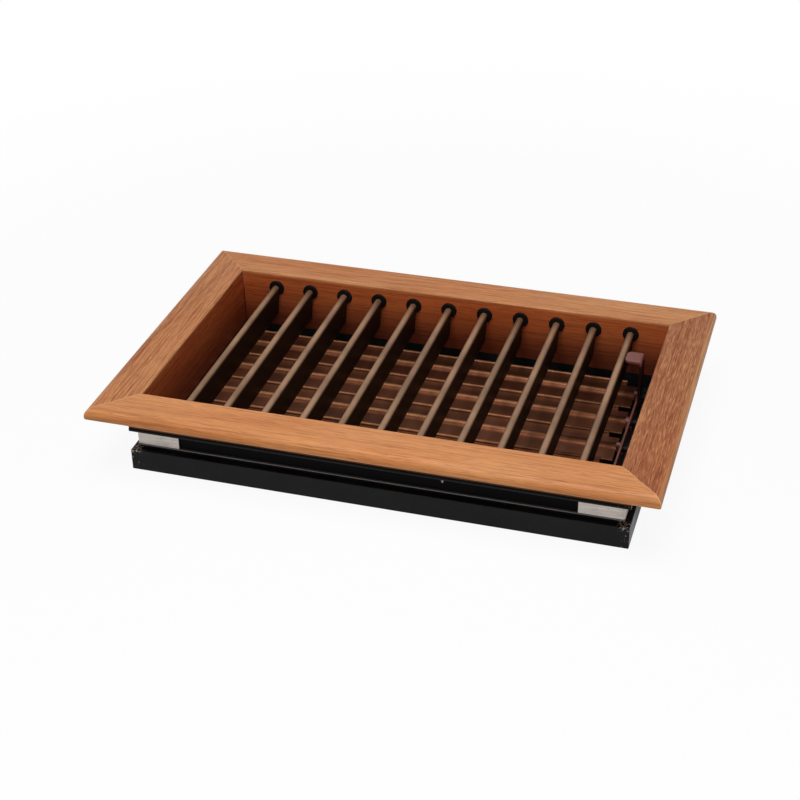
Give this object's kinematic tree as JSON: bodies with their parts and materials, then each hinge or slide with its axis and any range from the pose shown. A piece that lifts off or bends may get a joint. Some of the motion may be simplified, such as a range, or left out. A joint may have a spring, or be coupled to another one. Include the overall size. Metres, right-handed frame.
{
  "type": "adjustable air grille",
  "caption": "Rectangular wooden-faced air grille with a row of adjustable louvres and, behind them, an opposed-blade damper that a small finger lever sets.",
  "frame": {"origin": "middle of the damper frame's base, which the grille lies on when it is face up", "axes": "+X along the grille, +Y from the front rail to the rear rail, +Z out of the face"},
  "size_m": [0.284, 0.181, 0.042],
  "materials": {
    "wood": "oiled teak tone, satin",
    "louvre": "satin bronze coating",
    "pivot_pin": "plain bright",
    "black_bush": "moulded, matt",
    "damper_frame": "satin black coating",
    "corner_bracket": "bare, rolled",
    "damper_blade": "satin brown coating",
    "damper_shaft": "plain bright",
    "damper_drive": "satin brown coating",
    "damper_lever": "satin brown coating"
  },
  "bodies": {
    "frame": {"front_rail": "wood", "rear_rail": "wood", "left_stile": "wood", "right_stile": "wood", "damper_frame_front": "damper_frame", "damper_frame_rear": "damper_frame", "damper_frame_left": "damper_frame", "damper_frame_right": "damper_frame", "corner_bracket_front_left": "corner_bracket", "corner_bracket_front_right": "corner_bracket", "corner_bracket_rear_left": "corner_bracket", "corner_bracket_rear_right": "corner_bracket", "front_pivot_bushes": "black_bush", "rear_pivot_bushes": "black_bush", "damper_bushes_left": "black_bush", "damper_bushes_right": "black_bush", "fixing_brads": "pivot_pin"},
    "louvre_01": {"louvre_01": "louvre", "louvre_01_pivots": "pivot_pin"},
    "louvre_02": {"louvre_02": "louvre", "louvre_02_pivots": "pivot_pin"},
    "louvre_03": {"louvre_03": "louvre", "louvre_03_pivots": "pivot_pin"},
    "louvre_04": {"louvre_04": "louvre", "louvre_04_pivots": "pivot_pin"},
    "louvre_05": {"louvre_05": "louvre", "louvre_05_pivots": "pivot_pin"},
    "louvre_06": {"louvre_06": "louvre", "louvre_06_pivots": "pivot_pin"},
    "louvre_07": {"louvre_07": "louvre", "louvre_07_pivots": "pivot_pin"},
    "louvre_08": {"louvre_08": "louvre", "louvre_08_pivots": "pivot_pin"},
    "louvre_09": {"louvre_09": "louvre", "louvre_09_pivots": "pivot_pin"},
    "louvre_10": {"louvre_10": "louvre", "louvre_10_pivots": "pivot_pin"},
    "louvre_11": {"louvre_11": "louvre", "louvre_11_pivots": "pivot_pin"},
    "damper_blade_1": {"damper_blade_1": "damper_blade", "damper_shaft_1": "damper_shaft", "damper_crank_1": "damper_drive"},
    "damper_blade_2": {"damper_blade_2": "damper_blade", "damper_shaft_2": "damper_shaft", "damper_crank_2": "damper_drive"},
    "damper_blade_3": {"damper_blade_3": "damper_blade", "damper_shaft_3": "damper_shaft", "damper_crank_3": "damper_drive"},
    "damper_blade_4": {"damper_blade_4": "damper_blade", "damper_shaft_4": "damper_shaft", "damper_crank_4": "damper_drive"},
    "damper_blade_5": {"damper_blade_5": "damper_blade", "damper_shaft_5": "damper_shaft", "damper_crank_5": "damper_drive"},
    "damper_slide": {"damper_slide": "damper_drive", "damper_lever": "damper_lever", "lever_rivets": "pivot_pin"}
  },
  "joints": [
    {"name": "louvre_01_turn", "type": "hinge", "parent": "frame", "child": "louvre_01", "pos_m": [-0.1, 0, 0.0334], "axis": [0, 1, 0], "range_deg": [-45, 45]},
    {"name": "louvre_02_turn", "type": "hinge", "parent": "frame", "child": "louvre_02", "pos_m": [-0.08, 0, 0.0334], "axis": [0, 1, 0], "range_deg": [-45, 45]},
    {"name": "louvre_03_turn", "type": "hinge", "parent": "frame", "child": "louvre_03", "pos_m": [-0.06, 0, 0.0334], "axis": [0, 1, 0], "range_deg": [-45, 45]},
    {"name": "louvre_04_turn", "type": "hinge", "parent": "frame", "child": "louvre_04", "pos_m": [-0.04, 0, 0.0334], "axis": [0, 1, 0], "range_deg": [-45, 45]},
    {"name": "louvre_05_turn", "type": "hinge", "parent": "frame", "child": "louvre_05", "pos_m": [-0.02, 0, 0.0334], "axis": [0, 1, 0], "range_deg": [-45, 45]},
    {"name": "louvre_06_turn", "type": "hinge", "parent": "frame", "child": "louvre_06", "pos_m": [0, 0, 0.0334], "axis": [0, 1, 0], "range_deg": [-45, 45]},
    {"name": "louvre_07_turn", "type": "hinge", "parent": "frame", "child": "louvre_07", "pos_m": [0.02, 0, 0.0334], "axis": [0, 1, 0], "range_deg": [-45, 45]},
    {"name": "louvre_08_turn", "type": "hinge", "parent": "frame", "child": "louvre_08", "pos_m": [0.04, 0, 0.0334], "axis": [0, 1, 0], "range_deg": [-45, 45]},
    {"name": "louvre_09_turn", "type": "hinge", "parent": "frame", "child": "louvre_09", "pos_m": [0.06, 0, 0.0334], "axis": [0, 1, 0], "range_deg": [-45, 45]},
    {"name": "louvre_10_turn", "type": "hinge", "parent": "frame", "child": "louvre_10", "pos_m": [0.08, 0, 0.0334], "axis": [0, 1, 0], "range_deg": [-45, 45]},
    {"name": "louvre_11_turn", "type": "hinge", "parent": "frame", "child": "louvre_11", "pos_m": [0.1, 0, 0.0334], "axis": [0, 1, 0], "range_deg": [-30, 45]},
    {"name": "damper_blade_1_turn", "type": "hinge", "parent": "frame", "child": "damper_blade_1", "pos_m": [0, 0.0512, 0.0058], "axis": [-1, 0, 0], "range_deg": [0, 55]},
    {"name": "damper_blade_2_turn", "type": "hinge", "parent": "frame", "child": "damper_blade_2", "pos_m": [0, 0.0256, 0.0058], "axis": [1, 0, 0], "range_deg": [0, 55]},
    {"name": "damper_blade_3_turn", "type": "hinge", "parent": "frame", "child": "damper_blade_3", "pos_m": [0, 0, 0.0058], "axis": [-1, 0, 0], "range_deg": [0, 55]},
    {"name": "damper_blade_4_turn", "type": "hinge", "parent": "frame", "child": "damper_blade_4", "pos_m": [0, -0.0256, 0.0058], "axis": [1, 0, 0], "range_deg": [0, 55]},
    {"name": "damper_blade_5_turn", "type": "hinge", "parent": "frame", "child": "damper_blade_5", "pos_m": [0, -0.0512, 0.0058], "axis": [-1, 0, 0], "range_deg": [0, 55]},
    {"name": "damper_slide_move", "type": "slide", "parent": "frame", "child": "damper_slide", "axis": [0, 1, 0], "range_m": [0, 0.00278]}
  ],
  "couplings": [
    {"joint": "damper_blade_1_turn", "follows": "damper_blade_3_turn", "ratio": 1},
    {"joint": "damper_blade_2_turn", "follows": "damper_blade_3_turn", "ratio": 1},
    {"joint": "damper_blade_4_turn", "follows": "damper_blade_3_turn", "ratio": 1},
    {"joint": "damper_blade_5_turn", "follows": "damper_blade_3_turn", "ratio": 1},
    {"joint": "damper_slide_move", "follows": "damper_blade_3_turn", "m_per_rad": 0.0028861}
  ]
}
